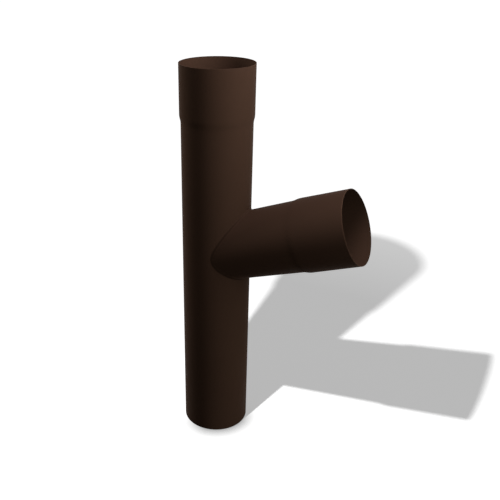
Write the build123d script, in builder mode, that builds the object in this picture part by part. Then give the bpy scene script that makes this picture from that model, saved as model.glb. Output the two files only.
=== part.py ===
from build123d import *
import os
from math import atan, cos, degrees

# Downpipe branch in coated sheet steel: a straight rolled pipe with a swaged socket at its
# top, and a tapered side pipe with a socket of its own, welded on at an angle.
# Lengths are in millimetres. The origin is the centre of the lower pipe end, +Z runs up the
# pipe, and the branch leaves towards +X.

# Sheet and plain pipe
sheet = 0.6  # wall thickness of the rolled steel
pipe_bore = 87.0  # inside diameter of the plain pipe
pipe_length = 500.0  # lower end to socket rim
deburr = 0.12  # edges taken off the sheet at each open end

# Sockets, which take the plain end of the next pipe
socket_play = 1.0  # room all round between a socket and the pipe in it
swage_length = 5.0  # length in which the wall widens to the socket
swage_radius = 6.0  # inside rounding where the swage begins and ends
socket_depth = 62.0  # straight part of the main socket
branch_socket_depth = 64.5  # straight part of the branch socket

# Branch
branch_angle = 70.0  # between the upward pipe axis and the branch axis
branch_height = 261.0  # where the two axes cross, above the lower end
branch_reach = 193.5  # from that crossing to the branch rim
branch_taper = 2.5  # how much the branch radius shrinks from its swage to the crossing

# Welds
bead_leg = 1.8  # how far the bead round the joint runs along each pipe
seam_width = 1.6  # lengthwise weld of each rolled pipe
seam_rise = 0.12  # how far that weld stands out of the wall
seam_setback = 4.0  # the weld is dressed flush this far from each open end

# Radii and places that follow from the sizes above
bore_radius = pipe_bore / 2
pipe_radius = bore_radius + sheet
socket_radius = pipe_radius + socket_play
root_radius = bore_radius - branch_taper
branch_neck = branch_reach - branch_socket_depth - swage_length

# The branch's section plane holds both axes, with X pointing out of the branch's underside
# and Y along the branch. Its frame has Z along the branch.
upright_section = Plane((0, 0, branch_height), x_dir=(1, 0, 0), z_dir=(0, -1, 0))
branch_section = upright_section.rotated((0, branch_angle, 0))
branch_frame = Plane(branch_section.origin, x_dir=branch_section.x_dir, z_dir=branch_section.y_dir)
branch_axis = Axis(branch_frame.origin, branch_frame.z_dir)

# Bars and cones stand on their lower end
standing = (Align.CENTER, Align.CENTER, Align.MIN)

# Square to the branch axis, the tapered wall is a little thicker than the sheet
tapered_wall = sheet / cos(atan(branch_taper / branch_neck))
branch_foot_radius = root_radius + tapered_wall
branch_neck_radius = bore_radius + tapered_wall

# Each lengthwise weld spans this angle of its pipe
seam_wall = sheet + seam_rise
seam_angle = degrees(seam_width / pipe_radius)


def wall_section(plane, foot_radius, length, depth, thickness=sheet, foot=0.0, setback=0.0):
    """Lengthwise section of a wall that swages out to a socket, X being the radius."""
    swage_end = length - depth
    with BuildSketch(plane) as section:
        with BuildLine():
            FilletPolyline(
                (foot_radius, foot),
                (bore_radius, swage_end - swage_length),
                (socket_radius, swage_end),
                (socket_radius, length - setback),
                radius=swage_radius,
            )
            offset(amount=thickness, side=Side.RIGHT)
        make_face()
    return section.sketch


def turned(plane, angle):
    """A section plane turned about its own pipe, by degrees."""
    return Plane(plane.location * Rotation(0, angle, 0))


with BuildPart() as main_pipe:
    revolve(wall_section(Plane.XZ, bore_radius, pipe_length, socket_depth), axis=Axis.Z)
    rims = main_pipe.edges().filter_by(GeomType.CIRCLE).group_by(Axis.Z)
    chamfer(rims[0] + rims[-1], length=deburr)
    # Its weld is at the back, opposite the branch
    back = turned(Plane.XZ, 180 - seam_angle / 2)
    weld = wall_section(back, bore_radius, pipe_length, socket_depth, seam_wall, seam_setback, seam_setback)
    revolve(weld, axis=Axis.Z, revolution_arc=seam_angle)
    # The hole is as wide as the branch is inside
    with Locations(branch_frame):
        Cone(root_radius, bore_radius, branch_neck, align=standing, mode=Mode.SUBTRACT)
main_pipe.part.label = "main_pipe"

with BuildPart() as branch_pipe:
    revolve(wall_section(branch_section, root_radius, branch_reach, branch_socket_depth), axis=branch_axis)
    mouth = branch_pipe.edges().filter_by(GeomType.CIRCLE).group_by(branch_axis)[-1]
    chamfer(mouth, length=deburr)
    # Its weld is on the underside
    heel = turned(branch_section, -seam_angle / 2)
    weld = wall_section(heel, root_radius, branch_reach, branch_socket_depth, seam_wall, 0.0, seam_setback)
    revolve(weld, axis=branch_axis, revolution_arc=seam_angle)
    # The foot is cut to a saddle that sits on the outside of the main pipe
    Cylinder(pipe_radius, pipe_length, align=standing, mode=Mode.SUBTRACT)
branch_pipe.part.label = "branch_pipe"

with BuildPart() as weld_bead:
    # Both pipes as bars with their corner filled by a flat-faced bead, less the bars themselves
    Cylinder(pipe_radius, pipe_length, align=standing)
    with Locations(branch_frame):
        Cone(branch_foot_radius, branch_neck_radius, branch_neck, align=standing)
    joint = weld_bead.edges().filter_by(GeomType.BSPLINE)
    chamfer(joint, length=bead_leg)
    Cylinder(pipe_radius, pipe_length, align=standing, mode=Mode.SUBTRACT)
    with Locations(branch_frame):
        Cone(branch_foot_radius, branch_neck_radius, branch_neck, align=standing, mode=Mode.SUBTRACT)
    # It runs over the branch's own lengthwise weld
    add(branch_pipe.part, mode=Mode.SUBTRACT)
weld_bead.part.label = "weld_bead"

os.makedirs("parts", exist_ok=True)
export_step(main_pipe.part, "parts/main_pipe.step")
export_step(branch_pipe.part, "parts/branch_pipe.step")
export_step(weld_bead.part, "parts/weld_bead.step")
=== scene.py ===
"""Looks of a downpipe branch in coated sheet steel, laid out as a Blender add-on."""

import math
from functools import partial

import bpy
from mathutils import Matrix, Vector


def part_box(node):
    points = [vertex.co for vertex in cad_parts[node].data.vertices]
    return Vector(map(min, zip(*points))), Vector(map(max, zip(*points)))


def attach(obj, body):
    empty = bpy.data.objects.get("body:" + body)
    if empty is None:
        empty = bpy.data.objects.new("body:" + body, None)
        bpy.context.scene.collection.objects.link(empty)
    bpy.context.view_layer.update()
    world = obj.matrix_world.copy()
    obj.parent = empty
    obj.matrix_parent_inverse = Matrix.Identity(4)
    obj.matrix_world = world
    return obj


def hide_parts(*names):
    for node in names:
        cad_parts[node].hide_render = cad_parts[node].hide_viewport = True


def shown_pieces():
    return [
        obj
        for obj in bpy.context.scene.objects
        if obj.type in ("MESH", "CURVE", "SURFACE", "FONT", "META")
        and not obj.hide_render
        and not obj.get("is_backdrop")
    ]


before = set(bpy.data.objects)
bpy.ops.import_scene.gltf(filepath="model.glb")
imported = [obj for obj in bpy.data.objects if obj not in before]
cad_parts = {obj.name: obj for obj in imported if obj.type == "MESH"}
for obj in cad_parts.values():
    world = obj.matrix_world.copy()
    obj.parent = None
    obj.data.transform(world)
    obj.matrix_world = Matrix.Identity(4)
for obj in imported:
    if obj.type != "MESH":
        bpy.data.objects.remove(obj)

bl_info = {
    "name": "Downpipe branch",
    "version": (1, 0, 0),
    "blender": (4, 5, 0),
    "location": "3D View > Sidebar > Downpipe",
    "description": "Adds a coated steel downpipe branch, its finish and a plain studio",
    "category": "Add Mesh",
}

MM = 0.001
BODY = "root"
COAT = "satin_powder_coat"
BACKDROP = "white_studio_floor"
# Attributes that the coat reads: which way a pipe runs, how far a point lies inside the band of
# painted highlight at the branch's mouth, and how deep it lies in the joint's corner, where shade
# is painted
PIPE_AXIS = "pipe_axis"
MOUTH_HIGHLIGHT_BAND = "mouth_band"
JOINT_CORNER_SHADE = "joint_corner"

# The CAD box gives the length that the visual model has to keep
PIPE_LOW, PIPE_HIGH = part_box("main_pipe")

# Input names that several trees share
PIPE_INPUTS = (
    "Foot radius",
    "Neck radius",
    "Length",
    "Socket depth",
    "Swage length",
    "Swage radius",
    "Socket step",
    "Sheet",
)
SHELL_INPUTS = (*PIPE_INPUTS, "Rim radius", "Row", "Segments")
SEAM_INPUTS = ("Seam start", "Seam setback", "Seam width", "Seam rise", "Seam fade", "Seam row")
WELD_INPUTS = (*PIPE_INPUTS, *SEAM_INPUTS)
JOINT_INPUTS = ("Branch angle", "Branch height")
# What a tree's input or output carries, by its name: all other inputs are plain numbers, and all
# other outputs are vectors
INPUT_KINDS = {"Segments": "Int", "Material": "Material", "Direction": "Vector"}
OUTPUT_KINDS = {"Geometry": "Geometry", "Distance": "Float"}

# Where the underside of the branch meets the straight pipe, measured up the branch's axis
BRANCH_SEAM_START = 32.0 * MM
# The branch's rows slide up to the saddle over this share of its neck
SLIDE_SHARE = 0.9
# Points round the joint weld's section, one of which is its hidden corner
BEAD_POINTS = 14
# An edge that bends more than this is shaded as a corner
CORNER_BEND = math.radians(40.0)
# How much a swage's face looks along its pipe at most, and from where on a face is a rim's
SWAGE_LEAN, RIM_LEAN = 0.35, 0.6

FLOOR_RADIUS = 12.0
FLOOR_SIDES = 96
# The floor's lamp stands where the edges of the photograph's shadow meet, and its radius gives
# them their softness
FLOOR_LAMP_PLACE = (-0.022, -0.311, 0.755)
FLOOR_LAMP_RADIUS = 7.5 * MM
# What it adds to the white paper right under it, where 1 is white
FLOOR_LAMP_SHARE = 0.8
# The lit paper comes out a hair over white, so that none of it falls short
LIT_PAPER = 1.01
# The contact shadow at the foot: how far it reaches, how open the floor is where it is darkest,
# the side on which it is strongest, and the cosines of the turn from there at which it has gone
# and at which it is full
CONTACT_REACH = 27.0 * MM
CONTACT_OPEN = 0.56
CONTACT_SIDE = Vector((1.0, -1.0, 0.0)).normalized()
CONTACT_FADE = (-0.2, 0.8)

# Soft boxes that face one point: name, azimuth from +X, height, distance, width, power and colour
LAMP_AIM = Vector((0.05, 0.0, 0.3))
SOFT_LAMPS = (
    ("key", -14.0, 28.0, 1.0, 0.8, 6.1, "#FFFFFF"),
    ("top", -16.0, 75.0, 0.45, 0.2, 1.1, "#FBF5FF"),
    ("low_fill", -10.0, -12.0, 0.8, 0.3, 0.3, "#FFFFFF"),
    ("back", 180.0, 30.0, 1.2, 0.5, 8.4, "#FFFFFF"),
)

# The photograph's camera, found from the outlines of both pipes: its place, the azimuth and height
# of its line of sight, its lens on a 36 mm sensor, its shift and what it can see
CAMERA_PLACE = (0.3578843, -0.7145091, 0.6312203)
CAMERA_SIGHT = (117.2269, -24.9325)
CAMERA_LENS, SENSOR_WIDTH = 48.398, 36.0
CAMERA_SHIFT = 0.0802
CAMERA_RANGE = (0.01, 50.0)


def size(name, description, millimetres):
    """A length property, shown in the scene's own unit."""
    return bpy.props.FloatProperty(
        name=name,
        description=description,
        default=millimetres * MM,
        min=0.0,
        precision=5,
        unit="LENGTH",
    )


class DOWNPIPE_PG_sizes(bpy.types.PropertyGroup):
    """Sizes of the fitting"""

    sheet: size("Sheet", "Wall thickness of the rolled steel", 0.6)
    bore: size("Bore radius", "Inside radius of the plain pipe", 43.5)
    pipe_length: size("Length", "Lower end to socket rim", (PIPE_HIGH.z - PIPE_LOW.z) / MM)
    play: size("Socket play", "Room round the pipe in a socket", 1.0)
    # Longer and rounder than the solids' swage, as the photograph shows no line there
    swage: size("Swage length", "Where the wall widens to the socket", 7.0)
    swage_radius: size("Swage rounding", "Inside rounding of the swage", 22.0)
    socket_depth: size("Socket depth", "Straight part of the main socket", 62.0)
    rim_radius: size("Rim rounding", "Rounding that the coat gives a cut edge", 0.2)
    angle: bpy.props.FloatProperty(
        name="Branch angle",
        description="Between the upward pipe axis and the branch axis",
        default=math.radians(70.0),
        subtype="ANGLE",
    )
    height: size("Branch height", "Where the axes cross, above the lower end", 261.0)
    reach: size("Branch reach", "From that crossing to the branch rim", 193.5)
    taper: size("Branch taper", "Radius lost from the swage to the crossing", 2.5)
    branch_depth: size("Branch socket depth", "Straight part of the branch socket", 64.5)
    # The band where the coat is made lighter is a painted highlight on the mouth's rim
    mouth_band: size("Mouth band", "Width of the paler coat at the branch's mouth", 1.3)
    bead_leg: size("Bead leg", "How far the joint weld runs along each pipe", 1.8)
    ripple: size("Ripple spacing", "From one ripple of a weld to the next", 1.3)
    ripple_rise: size("Ripple rise", "How far a ripple of the joint weld stands up", 0.03)
    seam_width: size("Seam width", "Lengthwise weld of a rolled pipe", 1.6)
    seam_rise: size("Seam rise", "How far that weld stands out", 0.119)
    seam_setback: size("Seam setback", "Flush part of that weld at an open end", 4.0)
    row: size("Row", "Longest face along a pipe", 4.0)
    segments: bpy.props.IntProperty(
        name="Segments", description="Faces round a pipe", default=192, min=24, max=512
    )


class DOWNPIPE_PG_looks(bpy.types.PropertyGroup):
    """Finish and light"""

    coat: bpy.props.StringProperty(
        name="Coat colour", description="Colour of the powder coat, as sRGB hex", default="#453328"
    )
    roughness: bpy.props.FloatProperty(
        name="Roughness", description="Roughness of the satin coat", default=0.5, min=0.0, max=1.0
    )
    specular: bpy.props.FloatProperty(
        name="Specular", description="Specular level of the coat", default=0.004, min=0.0, max=1.0
    )
    peel: size("Orange peel", "Spacing of the coat's orange peel", 2.2)
    fold_fill: bpy.props.FloatProperty(
        name="Fold fill",
        description="How much of a swage's slope the coat evens out",
        default=0.85,
        min=0.0,
        max=1.0,
    )
    # How strong the painted highlight at the branch's mouth is
    mouth_highlight: bpy.props.FloatProperty(
        name="Mouth highlight",
        description="How much paler the coat is at the branch's mouth",
        default=0.35,
        min=0.0,
    )
    # How much painted shade darkens the coat in the joint's corner
    corner_shade: bpy.props.FloatProperty(
        name="Corner shade",
        description="How much darker the coat is in the joint's corner",
        default=0.4,
        min=0.0,
        max=1.0,
    )
    floor_shadow: bpy.props.FloatProperty(
        name="Shadow level",
        description="How bright the shadowed floor is",
        default=0.485,
        min=0.0,
        max=1.0,
    )
    ambient: bpy.props.FloatProperty(
        name="Ambient", description="Even light from all round the object", default=0.045, min=0.0
    )


def feed(socket, value):
    """Gives an input a value, or links it to a socket or to a node's first live output."""
    if isinstance(value, bpy.types.Node):
        value = next(s for s in value.outputs if s.enabled)
    if isinstance(value, bpy.types.NodeSocket):
        socket.id_data.links.new(value, socket)
    elif value is not None:
        socket.default_value = value


def add_node(tree, kind, inputs=(), **settings):
    """Adds a node, makes its settings, and gives its inputs values or links."""
    made = tree.nodes.new(kind)
    for name, value in settings.items():
        setattr(made, name, value)
    pairs = inputs.items() if isinstance(inputs, dict) else enumerate(inputs)
    for key, value in pairs:
        feed(made.inputs[key], value)
    return made


def new_tree(name, *inputs):
    """An empty geometry tree with named inputs. Gives its adder, its inputs and its tree."""
    tree = bpy.data.node_groups.new(name, "GeometryNodeTree")
    for label in inputs:
        socket = "NodeSocket" + INPUT_KINDS.get(label, "Float")
        tree.interface.new_socket(name=label, in_out="INPUT", socket_type=socket)
    return partial(add_node, tree), tree.nodes.new("NodeGroupInput").outputs, tree


def hand_out(tree, **results):
    """Joins a tree's results to outputs of those names."""
    for label in results:
        socket = "NodeSocket" + OUTPUT_KINDS.get(label, "Vector")
        tree.interface.new_socket(name=label, in_out="OUTPUT", socket_type=socket)
    add_node(tree, "NodeGroupOutput", results)


def handed_on(given, labels):
    """A tree's inputs of these names, for a tree inside it."""
    return {label: given[label] for label in labels}


def on_branch_axis(add, given, geometry):
    """Geometry that was made on the Z axis, turned and lifted to the branch's axis."""
    return add(
        "GeometryNodeTransform",
        {
            "Geometry": geometry,
            "Translation": add("ShaderNodeCombineXYZ", {"Z": given["Branch height"]}),
            "Rotation": add("ShaderNodeCombineXYZ", {"Y": given["Branch angle"]}),
        },
    )


def captured(add, curve, kind, field):
    """The curve with a field kept on its points, and that field."""
    keep = add("GeometryNodeCaptureAttribute", domain="POINT")
    keep.capture_items.new(kind, "kept")
    feed(keep.inputs[0], curve)
    feed(keep.inputs[1], field)
    return keep.outputs[0], keep.outputs[1]


def corner_line(add, corners, closed):
    """A line through corners of (across, along, rounding), each rounded by its own radius."""
    points = add("GeometryNodeMeshLine", {"Count": len(corners)})
    index = add("GeometryNodeInputIndex")
    places = add("GeometryNodeIndexSwitch", data_type="VECTOR")
    radii = add("GeometryNodeIndexSwitch", data_type="FLOAT")
    for number, (across, along, rounding) in enumerate(corners):
        place = add("ShaderNodeCombineXYZ", (across, along))
        for switch, value in ((places, place), (radii, rounding)):
            if number > 1:
                switch.index_switch_items.new()
            feed(switch.inputs[number + 1], value)
    for switch in (places, radii):
        feed(switch.inputs[0], index)
    placed = add("GeometryNodeSetPosition", {"Geometry": points, "Position": places})
    line = add("GeometryNodeMeshToCurve", {"Mesh": placed})
    looped = add("GeometryNodeSetSplineCyclic", {"Geometry": line, "Cyclic": closed})
    return add(
        "GeometryNodeFilletCurve",
        {"Curve": looped, "Count": 8, "Radius": radii, "Limit Radius": True},
        mode="POLY",
    )


def wall_corners(add, given):
    """Sums on a pipe's sizes that its wall and its lengthwise weld share."""
    swage_end = add(
        "ShaderNodeMath", (given["Length"], given["Socket depth"]), operation="SUBTRACT"
    )
    swage_start = add("ShaderNodeMath", (swage_end, given["Swage length"]), operation="SUBTRACT")
    socket = add("ShaderNodeMath", (given["Neck radius"], given["Socket step"]), operation="ADD")
    # The outer corners sit lower, so that the wall keeps its thickness in the slope
    slope = add(
        "ShaderNodeMath", (given["Socket step"], given["Swage length"]), operation="ARCTAN2"
    )
    half = add("ShaderNodeMath", (slope, 0.5), operation="MULTIPLY")
    rise = add("ShaderNodeMath", (half,), operation="TANGENT")
    drop = add("ShaderNodeMath", (rise, given["Sheet"]), operation="MULTIPLY")
    return {
        "swage_start": swage_start,
        "swage_end": swage_end,
        "socket": socket,
        "outer_start": add("ShaderNodeMath", (swage_start, drop), operation="SUBTRACT"),
        "outer_end": add("ShaderNodeMath", (swage_end, drop), operation="SUBTRACT"),
        "outer_foot": add(
            "ShaderNodeMath", (given["Foot radius"], given["Sheet"]), operation="ADD"
        ),
        "outer_neck": add(
            "ShaderNodeMath", (given["Neck radius"], given["Sheet"]), operation="ADD"
        ),
        "outer_socket": add("ShaderNodeMath", (socket, given["Sheet"]), operation="ADD"),
        "wide": add("ShaderNodeMath", (given["Swage radius"], given["Sheet"]), operation="ADD"),
        "tight": add(
            "ShaderNodeMath", (given["Swage radius"], given["Sheet"]), operation="SUBTRACT"
        ),
    }


def swaged_pipe_tree():
    """A thin pipe on the Z axis that widens to a socket: its wall section swept round a circle."""
    add, given, tree = new_tree("swaged_pipe", *SHELL_INPUTS)
    at = wall_corners(add, given)
    rim, bend, top = given["Rim radius"], given["Swage radius"], given["Length"]
    section = corner_line(
        add,
        [
            (given["Foot radius"], 0.0, rim),
            (given["Neck radius"], at["swage_start"], bend),
            (at["socket"], at["swage_end"], bend),
            (at["socket"], top, rim),
            (at["outer_socket"], top, rim),
            (at["outer_socket"], at["outer_end"], at["wide"]),
            (at["outer_neck"], at["outer_start"], at["tight"]),
            (at["outer_foot"], 0.0, rim),
        ],
        True,
    )
    # Long straight stretches are cut into rows
    place = add("GeometryNodeInputPosition")
    count = add("GeometryNodeAttributeDomainSize", {"Geometry": section}, component="CURVE")
    following = add("ShaderNodeMath", (add("GeometryNodeInputIndex"), 1.0), operation="ADD")
    wrapped = add("ShaderNodeMath", (following, count.outputs["Point Count"]), operation="MODULO")
    beyond = add(
        "GeometryNodeFieldAtIndex", {"Value": place, "Index": wrapped}, data_type="FLOAT_VECTOR"
    )
    gap = add("ShaderNodeVectorMath", (place, beyond), operation="DISTANCE")
    rows = add("ShaderNodeMath", (gap, given["Row"]), operation="DIVIDE")
    cut = add("GeometryNodeSubdivideCurve", {"Curve": section, "Cuts": rows})
    # The sweep only joins the points up: each then goes to its own radius and height
    profile, kept = captured(add, cut, "VECTOR", place)
    circle = add(
        "GeometryNodeCurvePrimitiveCircle", {"Resolution": given["Segments"], "Radius": 1.0}
    )
    path, outward = captured(add, circle, "VECTOR", place)
    swept = add("GeometryNodeCurveToMesh", {"Curve": path, "Profile Curve": profile})
    parts = add("ShaderNodeSeparateXYZ", (kept,))
    level = add("ShaderNodeCombineXYZ", {"Z": parts.outputs["Y"]})
    spoke = add(
        "ShaderNodeVectorMath", {0: outward, "Scale": parts.outputs["X"]}, operation="SCALE"
    )
    spot = add("ShaderNodeVectorMath", (spoke, level), operation="ADD")
    hand_out(tree, Geometry=add("GeometryNodeSetPosition", {"Geometry": swept, "Position": spot}))
    return tree


def lengthwise_weld_tree():
    """The low weld that closes a rolled pipe, on its +X side, faded out at both ends."""
    add, given, tree = new_tree("lengthwise_weld", *WELD_INPUTS)
    at = wall_corners(add, given)
    start_radius = add(
        "ShaderNodeMapRange",
        {
            0: given["Seam start"],
            1: 0.0,
            2: at["swage_start"],
            3: at["outer_foot"],
            4: at["outer_neck"],
        },
    )
    finish = add("ShaderNodeMath", (given["Length"], given["Seam setback"]), operation="SUBTRACT")
    # A rounding of nothing would double the end points, which are then dropped by the resampling
    line = corner_line(
        add,
        [
            (start_radius, given["Seam start"], 0.0),
            (at["outer_neck"], at["outer_start"], at["tight"]),
            (at["outer_socket"], at["outer_end"], at["wide"]),
            (at["outer_socket"], finish, 0.0),
        ],
        False,
    )
    fine = add(
        "GeometryNodeResampleCurve", {"Curve": line, "Length": given["Seam row"]}, mode="LENGTH"
    )
    path, spot = captured(add, fine, "VECTOR", add("GeometryNodeInputPosition"))
    path, heading = captured(add, path, "VECTOR", add("GeometryNodeInputTangent"))
    run = add("GeometryNodeSplineParameter").outputs["Length"]
    whole = add("GeometryNodeSplineLength").outputs["Length"]
    left = add("ShaderNodeMath", (whole, run), operation="SUBTRACT")
    nearest = add("ShaderNodeMath", (run, left), operation="MINIMUM")
    # At its very ends it keeps a twentieth of its size, so that its end faces aren't points
    faded = add(
        "ShaderNodeMapRange", {0: nearest, 1: 0.0, 2: given["Seam fade"], 3: 0.05, 4: 1.0},
        interpolation_type="SMOOTHSTEP",
    )
    path, fade = captured(add, path, "FLOAT", faded)
    ring = add("GeometryNodeCurvePrimitiveCircle", {"Resolution": 12, "Radius": 1.0})
    profile, turn = captured(add, ring, "VECTOR", add("GeometryNodeInputPosition"))
    swept = add(
        "GeometryNodeCurveToMesh", {"Curve": path, "Profile Curve": profile, "Fill Caps": True}
    )
    spot, heading, turn = (
        add("ShaderNodeSeparateXYZ", (vector,)).outputs for vector in (spot, heading, turn)
    )
    base = add("ShaderNodeCombineXYZ", {"X": spot["X"], "Z": spot["Y"]})
    back = add("ShaderNodeMath", (heading["X"], -1.0), operation="MULTIPLY")
    outward = add("ShaderNodeCombineXYZ", {"X": heading["Y"], "Z": back})
    half = add("ShaderNodeMath", (given["Seam width"], 0.5), operation="MULTIPLY")
    sideways = add("ShaderNodeMath", (turn["X"], half), operation="MULTIPLY")
    upwards = add("ShaderNodeMath", (turn["Y"], given["Seam rise"]), operation="MULTIPLY")
    lift = add("ShaderNodeVectorMath", {0: outward, "Scale": upwards}, operation="SCALE")
    aside = add("ShaderNodeCombineXYZ", {"Y": sideways})
    spread = add("ShaderNodeVectorMath", (lift, aside), operation="ADD")
    small = add("ShaderNodeVectorMath", {0: spread, "Scale": fade}, operation="SCALE")
    there = add("ShaderNodeVectorMath", (base, small), operation="ADD")
    hand_out(tree, Geometry=add("GeometryNodeSetPosition", {"Geometry": swept, "Position": there}))
    return tree


def saddle_tree():
    """How far up the branch its sides meet the straight pipe, worked out in the branch's frame."""
    add, given, tree = new_tree(
        "saddle", "Direction", "Foot radius", "Slope", "Pipe radius", "Branch angle"
    )
    lean = add(
        "ShaderNodeVectorMath", {0: given["Direction"], "Scale": given["Slope"]}, operation="SCALE"
    )
    ruling = add("ShaderNodeVectorMath", (lean, (0.0, 0.0, 1.0)), operation="ADD")
    foot = add(
        "ShaderNodeVectorMath",
        {0: given["Direction"], "Scale": given["Foot radius"]},
        operation="SCALE",
    )
    # Seen down the straight pipe's axis, a side line meets its circle where a square law says
    seen = []
    for vector in (foot, ruling):
        turned = add(
            "ShaderNodeVectorRotate", {"Vector": vector, "Angle": given["Branch angle"]},
            rotation_type="Y_AXIS",
        )
        seen.append(add("ShaderNodeVectorMath", (turned, (1.0, 1.0, 0.0)), operation="MULTIPLY"))
    square = add("ShaderNodeVectorMath", (seen[1], seen[1]), operation="DOT_PRODUCT")
    middle = add("ShaderNodeVectorMath", (seen[0], seen[1]), operation="DOT_PRODUCT")
    inner = add("ShaderNodeVectorMath", (seen[0], seen[0]), operation="DOT_PRODUCT")
    outer = add("ShaderNodeMath", (given["Pipe radius"], 2.0), operation="POWER")
    room = add("ShaderNodeMath", (outer, inner), operation="SUBTRACT")
    twice = add("ShaderNodeMath", (middle, middle), operation="MULTIPLY")
    under = add("ShaderNodeMath", (square, room, twice), operation="MULTIPLY_ADD")
    root = add("ShaderNodeMath", (under,), operation="SQRT")
    gain = add("ShaderNodeMath", (root, middle), operation="SUBTRACT")
    distance = add("ShaderNodeMath", (gain, square), operation="DIVIDE")
    climb = add("ShaderNodeVectorMath", {0: ruling, "Scale": distance}, operation="SCALE")
    point = add("ShaderNodeVectorMath", (foot, climb), operation="ADD")
    hand_out(tree, Distance=distance, Ruling=ruling, Point=point)
    return tree


def hand_out_finished(add, tree, geometry, material):
    """The last nodes of each piece: smooth faces, sharp corners, real meshes and the finish."""
    smooth = add(
        "GeometryNodeSetShadeSmooth", {"Geometry": geometry, "Shade Smooth": True}, domain="FACE"
    )
    bend = add("GeometryNodeInputMeshEdgeAngle").outputs["Unsigned Angle"]
    corner = add("ShaderNodeMath", (bend, CORNER_BEND), operation="GREATER_THAN")
    crisp = add(
        "GeometryNodeSetShadeSmooth",
        {"Geometry": smooth, "Selection": corner, "Shade Smooth": False},
        domain="EDGE",
    )
    real = add("GeometryNodeRealizeInstances", {"Geometry": crisp})
    coated = add("GeometryNodeSetMaterial", {"Geometry": real, "Material": material})
    hand_out(tree, Geometry=coated)


def straight_pipe_tree(pipe, weld):
    """The straight pipe with its socket, its lengthwise weld and the hole for the branch."""
    add, given, tree = new_tree(
        "straight_pipe",
        *SHELL_INPUTS,
        *SEAM_INPUTS,
        *JOINT_INPUTS,
        "Root radius",
        "Branch neck",
        "Material",
    )
    shell = add("GeometryNodeGroup", handed_on(given, SHELL_INPUTS), node_tree=pipe)
    # The hole is as wide as the branch is inside
    plug = add(
        "GeometryNodeMeshCone",
        {
            "Vertices": given["Segments"],
            "Radius Top": given["Neck radius"],
            "Radius Bottom": given["Root radius"],
            "Depth": given["Branch neck"],
        },
    )
    holed = add(
        "GeometryNodeMeshBoolean",
        {0: shell, 1: on_branch_axis(add, given, plug)},
        operation="DIFFERENCE",
        solver="MANIFOLD",
    )
    # The lengthwise weld is at the back, opposite the branch
    seam = add("GeometryNodeGroup", handed_on(given, WELD_INPUTS), node_tree=weld)
    behind = add("GeometryNodeTransform", {"Geometry": seam, "Rotation": (0.0, 0.0, math.pi)})
    both = add("GeometryNodeJoinGeometry", {0: behind})
    feed(both.inputs[0], holed)
    known = add(
        "GeometryNodeStoreNamedAttribute",
        {"Geometry": both, "Name": PIPE_AXIS, "Value": (0.0, 0.0, 1.0)},
        data_type="FLOAT_VECTOR",
    )
    hand_out_finished(add, tree, known, given["Material"])
    return tree


def side_branch_tree(pipe, weld, saddle):
    """The tapered branch with its socket, its foot cut to the saddle that sits on the pipe."""
    add, given, tree = new_tree(
        "side_branch",
        *SHELL_INPUTS,
        *SEAM_INPUTS,
        *JOINT_INPUTS,
        "Slope",
        "Pipe radius",
        "Branch neck",
        "Mouth band",
        "Material",
    )
    shell = add("GeometryNodeGroup", handed_on(given, SHELL_INPUTS), node_tree=pipe)
    place = add("GeometryNodeInputPosition")
    level = add("ShaderNodeSeparateXYZ", (place,)).outputs["Z"]
    spoke = add("ShaderNodeVectorMath", (place, (1.0, 1.0, 0.0)), operation="MULTIPLY")
    radius = add("ShaderNodeVectorMath", (spoke,), operation="LENGTH")
    widened = add("ShaderNodeMath", (level, given["Slope"]), operation="MULTIPLY")
    meet = add(
        "GeometryNodeGroup",
        {
            "Direction": add("ShaderNodeVectorMath", (spoke,), operation="NORMALIZE"),
            "Foot radius": add("ShaderNodeMath", (radius, widened), operation="SUBTRACT"),
            **handed_on(given, ("Slope", "Pipe radius", "Branch angle")),
        },
        node_tree=saddle,
    )
    # Rows slide up the taper, all the way at the foot and not at all near the swage
    still = add("ShaderNodeMath", (given["Branch neck"], SLIDE_SHARE), operation="MULTIPLY")
    share = add("ShaderNodeMapRange", {0: level, 1: 0.0, 2: still, 3: 1.0, 4: 0.0})
    slide = add("ShaderNodeMath", (meet.outputs["Distance"], share), operation="MULTIPLY")
    offset = add(
        "ShaderNodeVectorMath", {0: meet.outputs["Ruling"], "Scale": slide}, operation="SCALE"
    )
    saddled = add("GeometryNodeSetPosition", {"Geometry": shell, "Offset": offset})
    seam = add("GeometryNodeGroup", handed_on(given, WELD_INPUTS), node_tree=weld)
    both = add("GeometryNodeJoinGeometry", {0: seam})
    feed(both.inputs[0], saddled)
    # Only the outside of the mouth has the band of painted highlight
    edge = add("ShaderNodeMath", (given["Length"], given["Mouth band"]), operation="SUBTRACT")
    within = add("ShaderNodeMath", (level, edge), operation="SUBTRACT")
    core = add("ShaderNodeMath", (given["Neck radius"], given["Socket step"]), operation="ADD")
    middle = add("ShaderNodeMath", (given["Sheet"], 0.5, core), operation="MULTIPLY_ADD")
    wall = add("ShaderNodeMath", (radius, middle), operation="GREATER_THAN")
    band = add("ShaderNodeMath", (within, wall), operation="MULTIPLY")
    banded = add(
        "GeometryNodeStoreNamedAttribute",
        {"Geometry": both, "Name": MOUTH_HIGHLIGHT_BAND, "Value": band},
        data_type="FLOAT",
    )
    axis = add(
        "ShaderNodeVectorRotate",
        {"Vector": (0.0, 0.0, 1.0), "Angle": given["Branch angle"]},
        rotation_type="Y_AXIS",
    )
    known = add(
        "GeometryNodeStoreNamedAttribute",
        {"Geometry": on_branch_axis(add, given, banded), "Name": PIPE_AXIS, "Value": axis},
        data_type="FLOAT_VECTOR",
    )
    hand_out_finished(add, tree, known, given["Material"])
    return tree


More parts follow.
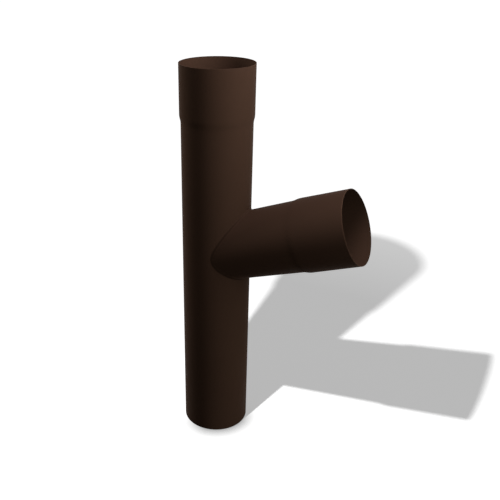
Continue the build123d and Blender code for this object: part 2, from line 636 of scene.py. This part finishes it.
def joint_weld_tree(saddle):
    """The weld round the foot of the branch: a rippled bead that runs out onto both pipes."""
    add, given, tree = new_tree(
        "joint_weld",
        "Foot radius",
        *JOINT_INPUTS,
        "Slope",
        "Pipe radius",
        "Bead leg",
        "Bead hollow",
        "Bead sink",
        "Ripple spacing",
        "Ripple rise",
        "Segments",
        "Material",
    )
    place = add("GeometryNodeInputPosition")
    circle = add(
        "GeometryNodeCurvePrimitiveCircle", {"Resolution": given["Segments"], "Radius": 1.0}
    )
    circle, side = captured(add, circle, "VECTOR", place)
    meet = add(
        "GeometryNodeGroup",
        {
            "Direction": side,
            **handed_on(given, ("Foot radius", "Slope", "Pipe radius", "Branch angle")),
        },
        node_tree=saddle,
    )
    joint = add("GeometryNodeSetPosition", {"Geometry": circle, "Position": meet.outputs["Point"]})
    path, root = captured(add, on_branch_axis(add, given, joint), "VECTOR", place)
    path, heading = captured(add, path, "VECTOR", add("GeometryNodeInputTangent"))
    # A whole number of ripples goes round
    run = add("GeometryNodeSplineParameter")
    whole = add("GeometryNodeSplineLength").outputs["Length"]
    ratio = add("ShaderNodeMath", (whole, given["Ripple spacing"]), operation="DIVIDE")
    number = add("ShaderNodeMath", (ratio,), operation="ROUND")
    turns = add("ShaderNodeMath", (number, run.outputs["Factor"]), operation="MULTIPLY")
    phase = add("ShaderNodeMath", (turns, 2.0 * math.pi), operation="MULTIPLY")
    path, phase = captured(add, path, "FLOAT", phase)
    # Across the bead a point is so much along the pipe and so much along the branch: the face's
    # points run from 0 to 1, and the last point of the profile, past 1, is the hidden corner
    ring = add("GeometryNodeCurvePrimitiveCircle", {"Resolution": BEAD_POINTS, "Radius": 1.0})
    index = add("GeometryNodeInputIndex")
    share = add("ShaderNodeMath", (index, BEAD_POINTS - 2.0), operation="DIVIDE")
    profile, across = captured(add, ring, "FLOAT", share)
    swept = add("GeometryNodeCurveToMesh", {"Curve": path, "Profile Curve": profile})
    face = add("ShaderNodeMath", (across, 1.01), operation="LESS_THAN")
    along_branch = add("ShaderNodeMath", (across, face), operation="MULTIPLY")
    along_pipe = add("ShaderNodeMath", (face, along_branch), operation="SUBTRACT")
    crown = add("ShaderNodeMath", (along_pipe, along_branch), operation="MULTIPLY")
    # Patches of about 6 mm have weaker and stronger ripples
    grain = add("ShaderNodeTexNoise", {"Vector": root, "Scale": 1.0 / (6.0 * MM), "Detail": 1.0})
    uneven = add("ShaderNodeMapRange", {0: grain.outputs[0], 1: 0.3, 2: 0.7, 3: 0.4, 4: 1.0})
    wave = add("ShaderNodeMath", (phase,), operation="SINE")
    ripple = add("ShaderNodeMath", (wave, uneven), operation="MULTIPLY")
    # The face is hollow and its ripples stand up, both most in its middle, where four times the
    # crown is 1
    raised = add("ShaderNodeMath", (ripple, given["Ripple rise"]), operation="MULTIPLY")
    scaled = add("ShaderNodeMath", (raised, given["Bead leg"]), operation="DIVIDE")
    bowed = add("ShaderNodeMath", (scaled, given["Bead hollow"]), operation="SUBTRACT")
    bow = add("ShaderNodeMath", (bowed, 4.0), operation="MULTIPLY")
    level = add("ShaderNodeMath", (crown, bow), operation="MULTIPLY")
    sunk = add("ShaderNodeMath", (level, given["Bead sink"]), operation="SUBTRACT")
    on_pipe, on_branch = (
        add(
            "ShaderNodeMath",
            (add("ShaderNodeMath", (part, sunk), operation="ADD"), given["Bead leg"]),
            operation="MULTIPLY",
        )
        for part in (along_pipe, along_branch)
    )
    lean = add("ShaderNodeCombineXYZ", {"Z": given["Slope"]})
    square = add("ShaderNodeVectorMath", (side, lean), operation="SUBTRACT")
    branch_normal = add(
        "ShaderNodeVectorRotate",
        {"Vector": square, "Angle": given["Branch angle"]},
        rotation_type="Y_AXIS",
    )
    pipe_normal = add("ShaderNodeVectorMath", (root, (1.0, 1.0, 0.0)), operation="MULTIPLY")
    down_pipe, up_branch = (
        add(
            "ShaderNodeVectorMath",
            (add("ShaderNodeVectorMath", pair, operation="CROSS_PRODUCT"),),
            operation="NORMALIZE",
        )
        for pair in ((heading, pipe_normal), (branch_normal, heading))
    )
    step = add("ShaderNodeVectorMath", {0: down_pipe, "Scale": on_pipe}, operation="SCALE")
    moved = add("ShaderNodeVectorMath", (root, step), operation="ADD")
    # What lies on the pipe is pulled back to its round wall
    spoke = add("ShaderNodeVectorMath", (moved, (1.0, 1.0, 0.0)), operation="MULTIPLY")
    unit = add("ShaderNodeVectorMath", (spoke,), operation="NORMALIZE")
    wall = add("ShaderNodeVectorMath", {0: unit, "Scale": given["Pipe radius"]}, operation="SCALE")
    height = add("ShaderNodeVectorMath", (moved, (0.0, 0.0, 1.0)), operation="MULTIPLY")
    held = add("ShaderNodeVectorMath", (wall, height), operation="ADD")
    climb = add("ShaderNodeVectorMath", {0: up_branch, "Scale": on_branch}, operation="SCALE")
    spot = add("ShaderNodeVectorMath", (held, climb), operation="ADD")
    bead = add("GeometryNodeSetPosition", {"Geometry": swept, "Position": spot})
    turned = add("GeometryNodeFlipFaces", {"Mesh": bead})
    # Where shade is painted on the bead: 1 in the middle of its face, less towards its edges
    depth = add("ShaderNodeMath", (crown, 4.0), operation="MULTIPLY")
    known = add(
        "GeometryNodeStoreNamedAttribute",
        {"Geometry": turned, "Name": JOINT_CORNER_SHADE, "Value": depth},
        data_type="FLOAT",
    )
    hand_out_finished(add, tree, known, given["Material"])
    return tree


def make_piece(name, node, tree, sizes):
    """Runs a tree with these sizes, keeps its result as a plain mesh, and puts it on the frame."""
    seed = bpy.data.objects.new("seed_of_" + name, bpy.data.meshes.new(name))
    bpy.context.scene.collection.objects.link(seed)
    grown = seed.modifiers.new("shape", "NODES")
    grown.node_group = tree
    for item in tree.interface.items_tree:
        if item.in_out == "INPUT":
            if item.name not in sizes:
                raise RuntimeError(f"{name} has no value for {item.name}")
            grown[item.identifier] = sizes[item.name]
    # Normals follow the large faces, so that a rounded rim doesn't shade the wall beside it
    seed.modifiers.new("normals", "WEIGHTED_NORMAL").keep_sharp = True
    bpy.context.view_layer.update()
    seen = seed.evaluated_get(bpy.context.evaluated_depsgraph_get())
    mesh = bpy.data.meshes.new_from_object(seen)
    bpy.data.objects.remove(seed)
    if not mesh.polygons:
        raise RuntimeError(f"{name} came out with no faces")
    mesh.name = name
    piece = bpy.data.objects.new(name, mesh)
    bpy.context.scene.collection.objects.link(piece)
    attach(piece, BODY)
    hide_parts(node)
    return piece


def linear(hex_colour):
    """An sRGB hex colour as the linear RGBA that Blender's sockets take."""
    parts = (int(hex_colour[i : i + 2], 16) / 255 for i in (1, 3, 5))
    return (*(c / 12.92 if c <= 0.04045 else ((c + 0.055) / 1.055) ** 2.4 for c in parts), 1.0)


def new_material(name):
    """An empty node material, ready for its own nodes."""
    made = bpy.data.materials.new(name)
    made.use_nodes = True
    made.node_tree.nodes.clear()
    return made, partial(add_node, made.node_tree)


def powder_coat(looks):
    """Polyester powder coat, stoved on steel: a dark brown satin skin of even colour, with the
    fine orange peel of the melted powder, which breaks up the edge of its soft highlights."""
    made, add = new_material(COAT)
    made.diffuse_color = linear(looks.coat)
    place = add("ShaderNodeTexCoord").outputs["Object"]
    # Each noise runs from about 0.3 to 0.7, which its range stretches to what it changes.
    # Cloud a hand wide: the coat is a shade thicker in some places than in others
    cloud = add("ShaderNodeTexNoise", {"Vector": place, "Scale": 1.0 / (80.0 * MM), "Detail": 2.0})
    shade = add("ShaderNodeMapRange", {0: cloud.outputs[0], 1: 0.3, 2: 0.7, 3: 0.96, 4: 1.04})
    # Pigment grain of half a millimetre
    grain = add("ShaderNodeTexNoise", {"Vector": place, "Scale": 1.0 / (0.5 * MM), "Detail": 1.0})
    fleck = add("ShaderNodeMapRange", {0: grain.outputs[0], 1: 0.3, 2: 0.7, 3: 0.97, 4: 1.03})
    # The branch's mouth gets a painted highlight, a lighter band on its rim, and the joint's
    # corner gets painted shade, a darker coat in the crease
    band = add("ShaderNodeAttribute", attribute_name=MOUTH_HIGHLIGHT_BAND).outputs["Fac"]
    brightest_highlight = 1.0 + looks.mouth_highlight
    painted_highlight = add("ShaderNodeMapRange", {0: band, 1: 0.0, 2: 0.5 * MM, 3: 1.0, 4: brightest_highlight})
    # Painted shade in the joint's corner, strongest in the middle of the bead's face
    corner = add("ShaderNodeAttribute", attribute_name=JOINT_CORNER_SHADE).outputs["Fac"]
    painted_shade = add("ShaderNodeMath", (corner, -looks.corner_shade, 1.0), operation="MULTIPLY_ADD")
    local = add("ShaderNodeMath", (painted_highlight, painted_shade), operation="MULTIPLY")
    even = add("ShaderNodeMath", (shade, fleck), operation="MULTIPLY")
    tone = add("ShaderNodeMath", (even, local), operation="MULTIPLY")
    pigment = linear(looks.coat)[:3]
    colour = add("ShaderNodeVectorMath", {0: pigment, "Scale": tone}, operation="SCALE")
    # Flow marks of a thumb's width change the gloss a little
    flow = add("ShaderNodeTexNoise", {"Vector": place, "Scale": 1.0 / (18.0 * MM), "Detail": 3.0})
    gloss = add(
        "ShaderNodeMapRange",
        {0: flow.outputs[0], 1: 0.3, 2: 0.7, 3: looks.roughness - 0.04, 4: looks.roughness + 0.04},
    )
    # Orange peel, 0.008 mm high, on faint waves of the rolled sheet, 0.03 mm high and 45 mm long
    peel = add("ShaderNodeTexNoise", {"Vector": place, "Scale": 1.0 / looks.peel, "Detail": 2.0})
    wave = add("ShaderNodeTexNoise", {"Vector": place, "Scale": 1.0 / (45.0 * MM), "Detail": 0.0})
    # The melted coat fills the shallow fold of a swage, which shows less than the steel's own
    # does. A rim faces along its pipe and is left as it is
    facing = add("ShaderNodeNewGeometry").outputs["Normal"]
    axis = add("ShaderNodeAttribute", attribute_name=PIPE_AXIS).outputs["Vector"]
    tilt = add("ShaderNodeVectorMath", (facing, axis), operation="DOT_PRODUCT").outputs["Value"]
    steep = add("ShaderNodeMath", (tilt,), operation="ABSOLUTE")
    filled = add(
        "ShaderNodeMapRange", {0: steep, 1: SWAGE_LEAN, 2: RIM_LEAN, 3: -looks.fold_fill, 4: 0.0}
    )
    turned = add("ShaderNodeMath", (tilt, filled), operation="MULTIPLY")
    raised = add("ShaderNodeVectorMath", {0: axis, "Scale": turned}, operation="SCALE")
    eased = add("ShaderNodeVectorMath", (facing, raised), operation="ADD")
    skin = add("ShaderNodeVectorMath", (eased,), operation="NORMALIZE")
    low = add(
        "ShaderNodeBump",
        {"Strength": 1.0, "Distance": 0.03 * MM, "Height": wave.outputs[0], "Normal": skin},
    )
    high = add(
        "ShaderNodeBump",
        {"Strength": 1.0, "Distance": 0.008 * MM, "Height": peel.outputs[0], "Normal": low},
    )
    coat = add(
        "ShaderNodeBsdfPrincipled",
        {
            "Base Color": colour,
            "Metallic": 0.0,
            "Roughness": gloss,
            "IOR": 1.5,
            "Specular IOR Level": looks.specular,
            "Normal": high,
        },
    )
    add("ShaderNodeOutputMaterial", {"Surface": coat})


def rays_that_see(add):
    """One for the rays that show the background: camera, glossy and transmission rays."""
    path = add("ShaderNodeLightPath").outputs
    shown = add(
        "ShaderNodeMath", (path["Is Camera Ray"], path["Is Glossy Ray"]), operation="MAXIMUM"
    )
    return add("ShaderNodeMath", (shown, path["Is Transmission Ray"]), operation="MAXIMUM")


def studio_floor(looks):
    """Matt white paper: its own light and the ambient light make the level left in the shadow, and
    the lamp over it adds the rest, so that it runs into the white background round the shadow."""
    made, add = new_material(BACKDROP)
    place = add("ShaderNodeNewGeometry").outputs["Position"]
    # The lamp's light slants more the farther out it falls, and the paper's own makes up for it
    away = add("ShaderNodeVectorMath", (place, FLOOR_LAMP_PLACE), operation="DISTANCE")
    slant = add("ShaderNodeMath", (FLOOR_LAMP_PLACE[2], away.outputs["Value"]), operation="DIVIDE")
    missing = add(
        "ShaderNodeMath", (slant, -FLOOR_LAMP_SHARE, LIT_PAPER), operation="MULTIPLY_ADD"
    )
    least = looks.floor_shadow - looks.ambient
    base = add("ShaderNodeMath", (missing, least), operation="MAXIMUM")
    # Close to the foot of the pipe less light gets in, most of all in front
    nook = add("ShaderNodeAmbientOcclusion", {"Distance": CONTACT_REACH}, samples=16).outputs["AO"]
    open_sky = add("ShaderNodeMapRange", {0: nook, 1: CONTACT_OPEN, 2: 1.0, 3: 0.0, 4: 1.0})
    heading = add("ShaderNodeVectorMath", (place,), operation="NORMALIZE")
    facing = add("ShaderNodeVectorMath", (heading, CONTACT_SIDE), operation="DOT_PRODUCT")
    fade_from, fade_to = CONTACT_FADE
    weight = add(
        "ShaderNodeMapRange",
        {0: facing.outputs["Value"], 1: fade_from, 2: fade_to, 3: 0.0, 4: 1.0},
    )
    lit = add("ShaderNodeMix", {0: weight, 2: 1.0, 3: open_sky}, data_type="FLOAT")
    paper = add("ShaderNodeBsdfDiffuse", {"Color": lit})
    glow = add("ShaderNodeEmission", {"Color": (1.0, 1.0, 1.0, 1.0), "Strength": base})
    seen = add("ShaderNodeAddShader", (paper, glow))
    dark = add("ShaderNodeBsdfDiffuse", {"Color": (0.0, 0.0, 0.0, 1.0)})
    mixed = add("ShaderNodeMixShader", (rays_that_see(add), dark, seen))
    add("ShaderNodeOutputMaterial", {"Surface": mixed})
    return made


def shared_sizes(sizes):
    """The trees' values that both pipes and their joint share."""
    neck = sizes.reach - sizes.branch_depth - sizes.swage
    return {
        "Neck radius": sizes.bore,
        "Swage length": sizes.swage,
        "Swage radius": sizes.swage_radius,
        "Socket step": sizes.sheet + sizes.play,
        "Sheet": sizes.sheet,
        "Rim radius": sizes.rim_radius,
        "Row": sizes.row,
        "Segments": sizes.segments,
        "Seam setback": sizes.seam_setback,
        "Seam width": sizes.seam_width,
        "Seam rise": sizes.seam_rise,
        "Seam fade": 3.0 * MM,
        "Seam row": 0.5 * MM,
        "Branch angle": sizes.angle,
        "Branch height": sizes.height,
        "Branch neck": neck,
        "Root radius": sizes.bore - sizes.taper,
        "Slope": sizes.taper / neck,
        "Pipe radius": sizes.bore + sizes.sheet,
        "Material": bpy.data.materials[COAT],
    }


def shared_tree(name, build):
    """A tree that several pieces use, built the first time that one asks for it."""
    return bpy.data.node_groups.get(name) or build()


class DOWNPIPE_OT_add_coat(bpy.types.Operator):
    """Makes the powder coat that every piece takes"""

    bl_idname = "downpipe.add_coat"
    bl_label = "Powder Coat"

    def execute(self, context):
        powder_coat(context.scene.downpipe_looks)
        return {"FINISHED"}


class DOWNPIPE_OT_add_pipe(bpy.types.Operator):
    """Adds the straight pipe with its socket, lengthwise weld and branch hole"""

    bl_idname = "downpipe.add_pipe"
    bl_label = "Straight Pipe"

    def execute(self, context):
        sizes = context.scene.downpipe_sizes
        tree = straight_pipe_tree(
            shared_tree("swaged_pipe", swaged_pipe_tree),
            shared_tree("lengthwise_weld", lengthwise_weld_tree),
        )
        own = {
            "Foot radius": sizes.bore,
            "Length": sizes.pipe_length,
            "Socket depth": sizes.socket_depth,
            "Seam start": sizes.seam_setback,
        }
        make_piece("straight_pipe", "main_pipe", tree, {**shared_sizes(sizes), **own})
        return {"FINISHED"}


class DOWNPIPE_OT_add_branch(bpy.types.Operator):
    """Adds the tapered side branch with its socket, cut to sit on the straight pipe"""

    bl_idname = "downpipe.add_branch"
    bl_label = "Side Branch"

    def execute(self, context):
        sizes = context.scene.downpipe_sizes
        tree = side_branch_tree(
            shared_tree("swaged_pipe", swaged_pipe_tree),
            shared_tree("lengthwise_weld", lengthwise_weld_tree),
            shared_tree("saddle", saddle_tree),
        )
        own = {
            "Foot radius": sizes.bore - sizes.taper,
            "Length": sizes.reach,
            "Socket depth": sizes.branch_depth,
            "Seam start": BRANCH_SEAM_START,
            "Mouth band": sizes.mouth_band,
        }
        make_piece("side_branch", "branch_pipe", tree, {**shared_sizes(sizes), **own})
        return {"FINISHED"}


class DOWNPIPE_OT_add_joint(bpy.types.Operator):
    """Adds the weld bead round the foot of the branch"""

    bl_idname = "downpipe.add_joint"
    bl_label = "Joint Weld"

    def execute(self, context):
        sizes = context.scene.downpipe_sizes
        tree = joint_weld_tree(shared_tree("saddle", saddle_tree))
        own = {
            "Foot radius": sizes.bore - sizes.taper + sizes.sheet,
            "Bead leg": sizes.bead_leg,
            # Both are shares of the leg
            "Bead hollow": 0.1,
            "Bead sink": 0.012,
            "Ripple spacing": sizes.ripple,
            "Ripple rise": sizes.ripple_rise,
            # About 7 steps for each ripple
            "Segments": 8 * sizes.segments,
        }
        make_piece("joint_weld", "weld_bead", tree, {**shared_sizes(sizes), **own})
        return {"FINISHED"}


def direction(azimuth, height):
    """The direction at an azimuth from +X and a height over the floor, both in degrees."""
    turn, tilt = math.radians(azimuth), math.radians(height)
    flat = math.cos(tilt)
    return Vector((flat * math.cos(turn), flat * math.sin(turn), math.sin(tilt)))


def add_floor(looks):
    """A round white floor that reaches past what the camera sees."""
    mesh = bpy.data.meshes.new("floor")
    rim = [FLOOR_RADIUS * direction(360.0 * i / FLOOR_SIDES, 0.0) for i in range(FLOOR_SIDES)]
    mesh.from_pydata(rim, [], [range(FLOOR_SIDES)])
    mesh.materials.append(studio_floor(looks))
    floor = bpy.data.objects.new("floor", mesh)
    bpy.context.scene.collection.objects.link(floor)
    floor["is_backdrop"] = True
    return floor


def light_only(lamp, targets):
    """The lamp lights these objects and no others, and everything still throws its shadow."""
    group = bpy.data.collections.new("lit_by_" + lamp.name)
    for target in targets:
        group.objects.link(target)
    lamp.light_linking.receiver_collection = group


def add_soft_lamp(name, azimuth, height, away, width, power, colour):
    """A round soft box that faces the middle of the fitting."""
    light = bpy.data.lights.new(name, "AREA")
    light.shape, light.size, light.energy = "DISK", width, power
    light.color = linear(colour)[:3]
    lamp = bpy.data.objects.new(name, light)
    back = direction(azimuth, height)
    lamp.location = LAMP_AIM + back * away
    lamp.rotation_euler = back.to_track_quat("Z", "Y").to_euler()
    lamp.visible_camera = False
    bpy.context.scene.collection.objects.link(lamp)
    return lamp


def add_floor_lamp():
    """The small lamp whose shadow lies on the floor. It lights nothing else, and its light doesn't
    weaken with distance, so that the floor round the shadow stays white."""
    light = bpy.data.lights.new("floor_lamp", "POINT")
    # At a constant falloff, white paper sends back a power of 4 pi squared as 1
    light.energy = FLOOR_LAMP_SHARE * 4.0 * math.pi**2
    light.shadow_soft_size = FLOOR_LAMP_RADIUS
    light.use_nodes = True
    light.node_tree.nodes.clear()
    add = partial(add_node, light.node_tree)
    falloff = add("ShaderNodeLightFalloff", {"Strength": 1.0})
    glow = add("ShaderNodeEmission", {"Strength": falloff.outputs["Constant"]})
    add("ShaderNodeOutputLight", {"Surface": glow})
    lamp = bpy.data.objects.new("floor_lamp", light)
    lamp.location = FLOOR_LAMP_PLACE
    bpy.context.scene.collection.objects.link(lamp)
    return lamp


class DOWNPIPE_OT_set_stage(bpy.types.Operator):
    """Sets up the white floor, the lamps, the background and the camera"""

    bl_idname = "downpipe.set_stage"
    bl_label = "Studio"

    def execute(self, context):
        scene, looks = context.scene, context.scene.downpipe_looks
        floor = add_floor(looks)
        light_only(add_floor_lamp(), [floor])
        for lamp in SOFT_LAMPS:
            light_only(add_soft_lamp(*lamp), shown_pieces())
        world = bpy.data.worlds.new("white_room")
        scene.world = world
        world.use_nodes = True
        world.node_tree.nodes.clear()
        add = partial(add_node, world.node_tree)
        level = add(
            "ShaderNodeMapRange",
            {0: rays_that_see(add), 1: 0.0, 2: 1.0, 3: looks.ambient, 4: 1.0},
        )
        sky = add("ShaderNodeBackground", {"Color": (1.0, 1.0, 1.0, 1.0), "Strength": level})
        add("ShaderNodeOutputWorld", {"Surface": sky})
        lens = bpy.data.cameras.new("camera")
        lens.sensor_width, lens.lens, lens.shift_x = SENSOR_WIDTH, CAMERA_LENS, CAMERA_SHIFT
        lens.clip_start, lens.clip_end = CAMERA_RANGE
        camera = bpy.data.objects.new("camera", lens)
        camera.location = CAMERA_PLACE
        ahead = direction(*CAMERA_SIGHT)
        camera.rotation_euler = ahead.to_track_quat("-Z", "Y").to_euler()
        scene.collection.objects.link(camera)
        scene.camera = camera
        scene.view_settings.view_transform = "Standard"
        return {"FINISHED"}


class DOWNPIPE_PT_panel(bpy.types.Panel):
    """Steps and sizes of the downpipe branch"""

    bl_idname = "DOWNPIPE_PT_panel"
    bl_label = "Downpipe branch"
    bl_space_type = "VIEW_3D"
    bl_region_type = "UI"
    bl_category = "Downpipe"

    def draw(self, context):
        column = self.layout.column(align=True)
        for step in STEPS:
            column.operator(step.bl_idname)
        for group in (context.scene.downpipe_sizes, context.scene.downpipe_looks):
            box = self.layout.box()
            for name in group.__annotations__:
                box.prop(group, name)


STEPS = (
    DOWNPIPE_OT_add_coat,
    DOWNPIPE_OT_add_pipe,
    DOWNPIPE_OT_add_branch,
    DOWNPIPE_OT_add_joint,
    DOWNPIPE_OT_set_stage,
)
CLASSES = (DOWNPIPE_PG_sizes, DOWNPIPE_PG_looks, *STEPS, DOWNPIPE_PT_panel)


def register():
    """Adds the classes and the scene's two groups of properties."""
    for part in CLASSES:
        bpy.utils.register_class(part)
    bpy.types.Scene.downpipe_sizes = bpy.props.PointerProperty(type=DOWNPIPE_PG_sizes)
    bpy.types.Scene.downpipe_looks = bpy.props.PointerProperty(type=DOWNPIPE_PG_looks)


def unregister():
    """Takes away what register added."""
    del bpy.types.Scene.downpipe_looks
    del bpy.types.Scene.downpipe_sizes
    for part in reversed(CLASSES):
        bpy.utils.unregister_class(part)


def main():
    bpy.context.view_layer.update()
    register()
    bpy.ops.downpipe.add_coat()
    bpy.ops.downpipe.add_pipe()
    bpy.ops.downpipe.add_branch()
    bpy.ops.downpipe.add_joint()
    bpy.ops.downpipe.set_stage()


if __name__ == "__main__":
    main()
